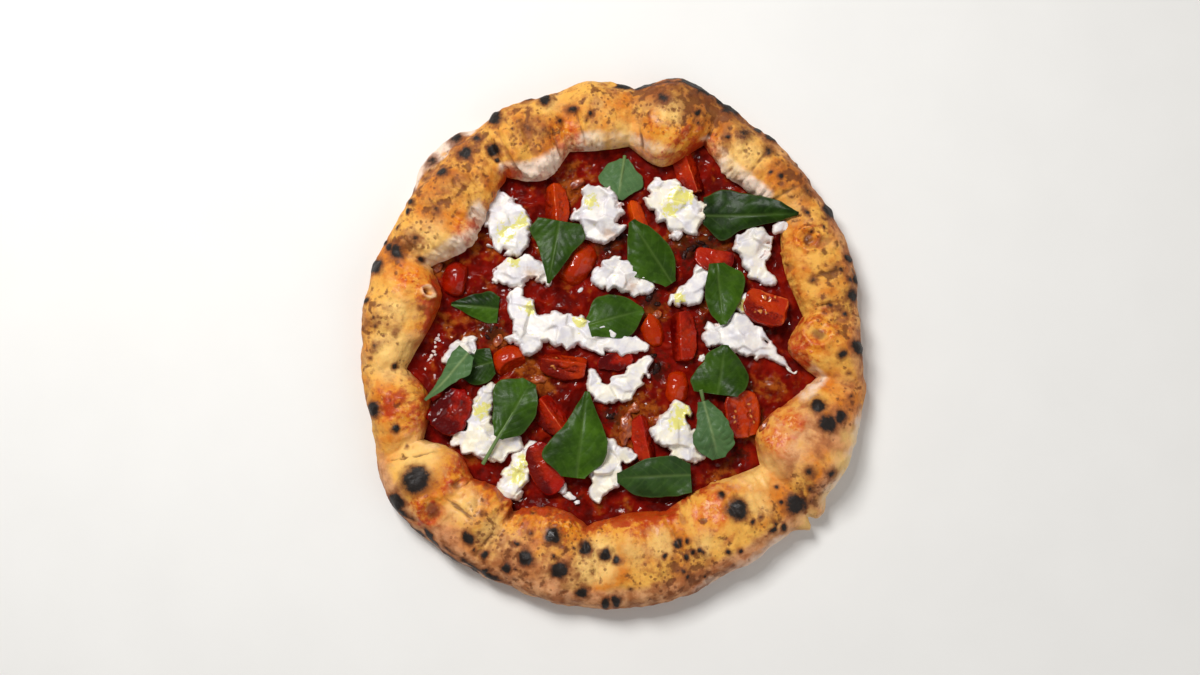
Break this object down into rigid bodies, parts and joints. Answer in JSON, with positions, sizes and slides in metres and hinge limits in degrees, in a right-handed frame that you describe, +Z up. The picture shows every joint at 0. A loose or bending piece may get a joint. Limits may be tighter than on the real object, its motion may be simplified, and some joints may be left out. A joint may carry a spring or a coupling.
{
  "type": "stuffed crust pizza",
  "caption": "Whole stuffed crust pizza: a swollen, blistered rim round a well of tomato sauce with torn mozzarella, cut cherry tomatoes and basil leaves.",
  "frame": {"origin": "middle of the flat underside, on the surface that the pizza rests on", "axes": "+Z up out of the sauce, +Y towards the top of the picture, +X towards its right"},
  "size_m": [0.3173, 0.3346, 0.0366],
  "materials": {
    "crust": "dry baked dough, matt, with dark blisters",
    "sauce": "wet and glossy",
    "tomato": "wet, glossy skin",
    "mozzarella": "moist and softly shiny",
    "basil": "satin, oiled here and there"
  },
  "bodies": {
    "root": {"crust": "crust", "tomato_sauce": "sauce", "cherry_tomato_1": "tomato", "cherry_tomato_2": "tomato", "cherry_tomato_3": "tomato", "cherry_tomato_4": "tomato", "cherry_tomato_5": "tomato", "cherry_tomato_6": "tomato", "cherry_tomato_7": "tomato", "cherry_tomato_8": "tomato", "cherry_tomato_9": "tomato", "cherry_tomato_10": "tomato", "cherry_tomato_11": "tomato", "cherry_tomato_12": "tomato", "cherry_tomato_13": "tomato", "cherry_tomato_14": "tomato", "cherry_tomato_15": "tomato", "cherry_tomato_16": "tomato", "cherry_tomato_17": "tomato", "cherry_tomato_18": "tomato", "mozzarella_1": "mozzarella", "mozzarella_2": "mozzarella", "mozzarella_3": "mozzarella", "mozzarella_4": "mozzarella", "mozzarella_5": "mozzarella", "mozzarella_6": "mozzarella", "mozzarella_7": "mozzarella", "mozzarella_8": "mozzarella", "mozzarella_9": "mozzarella", "mozzarella_10": "mozzarella", "mozzarella_11": "mozzarella", "mozzarella_12": "mozzarella", "mozzarella_13": "mozzarella", "mozzarella_14": "mozzarella", "mozzarella_15": "mozzarella", "mozzarella_16": "mozzarella", "mozzarella_17": "mozzarella", "mozzarella_18": "mozzarella", "basil_leaf_1": "basil", "basil_leaf_2": "basil", "basil_leaf_3": "basil", "basil_leaf_4": "basil", "basil_leaf_5": "basil", "basil_leaf_6": "basil", "basil_leaf_7": "basil", "basil_leaf_8": "basil", "basil_leaf_9": "basil", "basil_leaf_10": "basil", "basil_leaf_11": "basil", "basil_leaf_12": "basil", "basil_leaf_13": "basil", "basil_leaf_14": "basil"}
  },
  "joints": []
}
